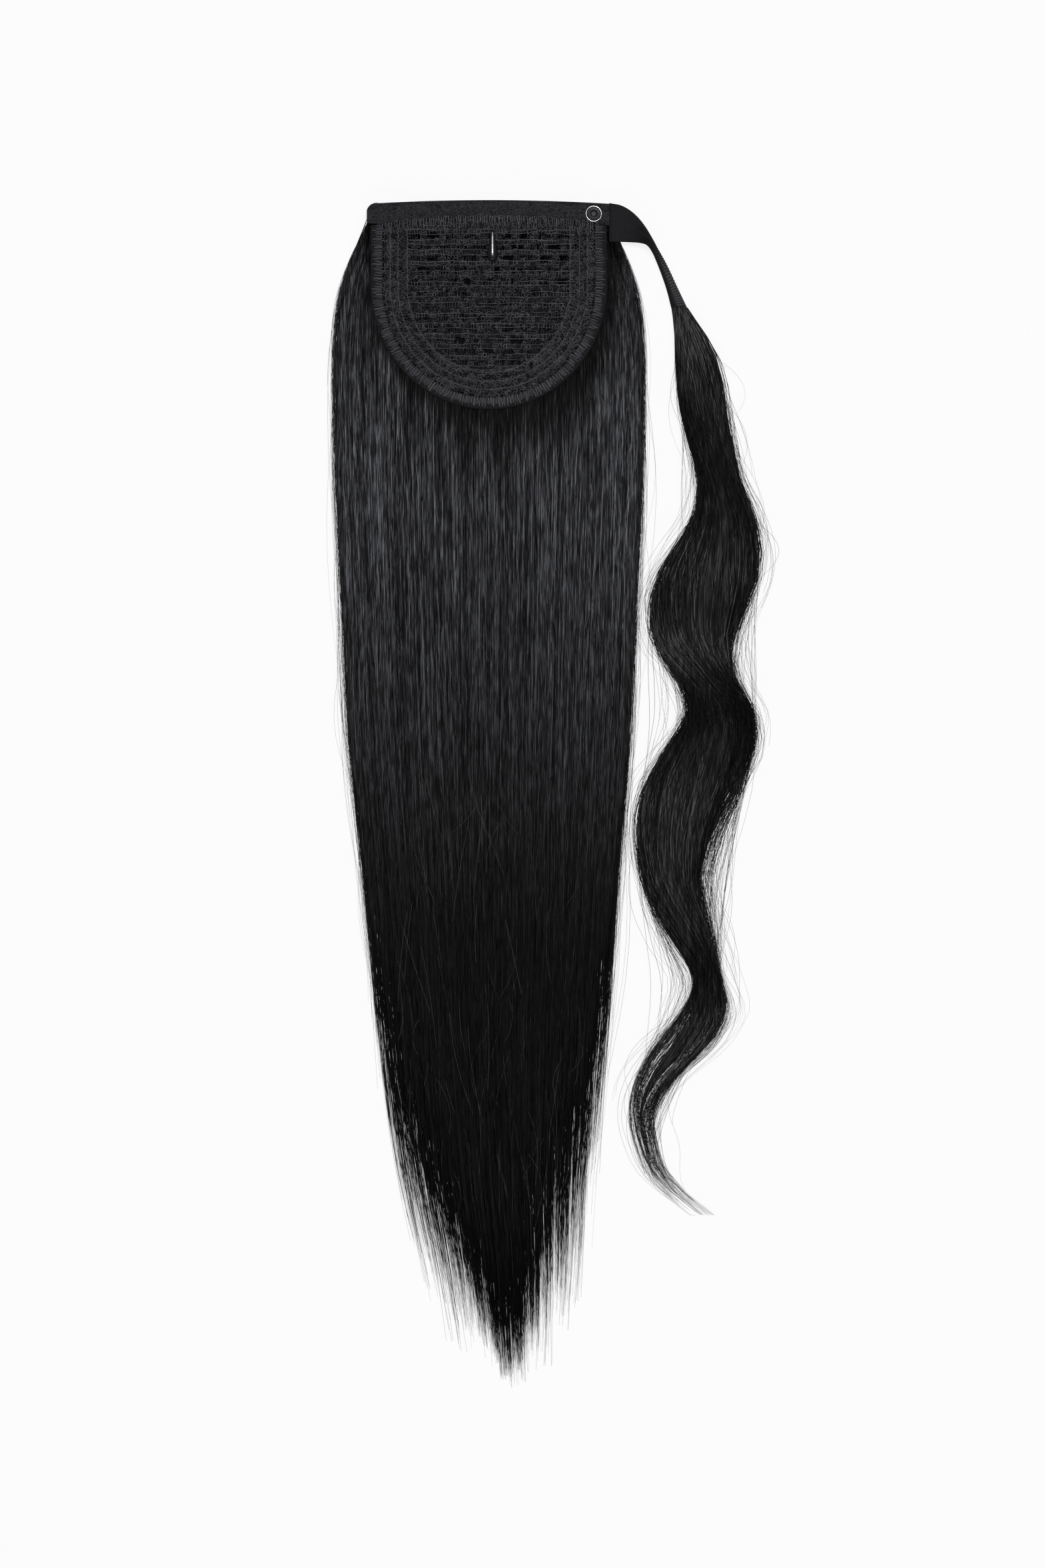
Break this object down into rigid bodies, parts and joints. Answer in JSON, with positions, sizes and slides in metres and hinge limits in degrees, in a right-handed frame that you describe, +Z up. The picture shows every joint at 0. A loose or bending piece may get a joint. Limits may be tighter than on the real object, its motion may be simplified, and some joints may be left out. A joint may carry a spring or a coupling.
{
  "type": "ponytail hairpiece",
  "caption": "Wrap-around ponytail hairpiece: a net base with a top band, hook and press stud holds a straight fall of black hair, and a strap ends in a wavy tress.",
  "frame": {"origin": "centre of the bottom of the bounding box, on the surface that the hair lies on", "axes": "+Y from the hair's tip towards the base's top edge, +X to the side of the wrap strap, +Z up out of the inner side of the base"},
  "size_m": [0.1818, 0.508, 0.0132],
  "materials": {
    "hair": "smooth straight near-black hair with a soft lengthwise sheen",
    "net_thread": "matte charcoal crochet thread",
    "band_felt": "matte brushed cloth",
    "ribbed_tape": "matte ribbed tape",
    "dark_gloss": "glossy black",
    "silver": "satin silver"
  },
  "bodies": {
    "root": {"hair_fall": "hair", "wrap_tress": "hair", "cap_net": "net_thread", "edge_binding": "net_thread", "top_band": "band_felt", "band_fold": "band_felt", "wrap_strap": "ribbed_tape", "hook_shell": "dark_gloss", "snap_cap": "dark_gloss", "hook_bar": "silver", "snap_rim": "silver"}
  },
  "joints": []
}
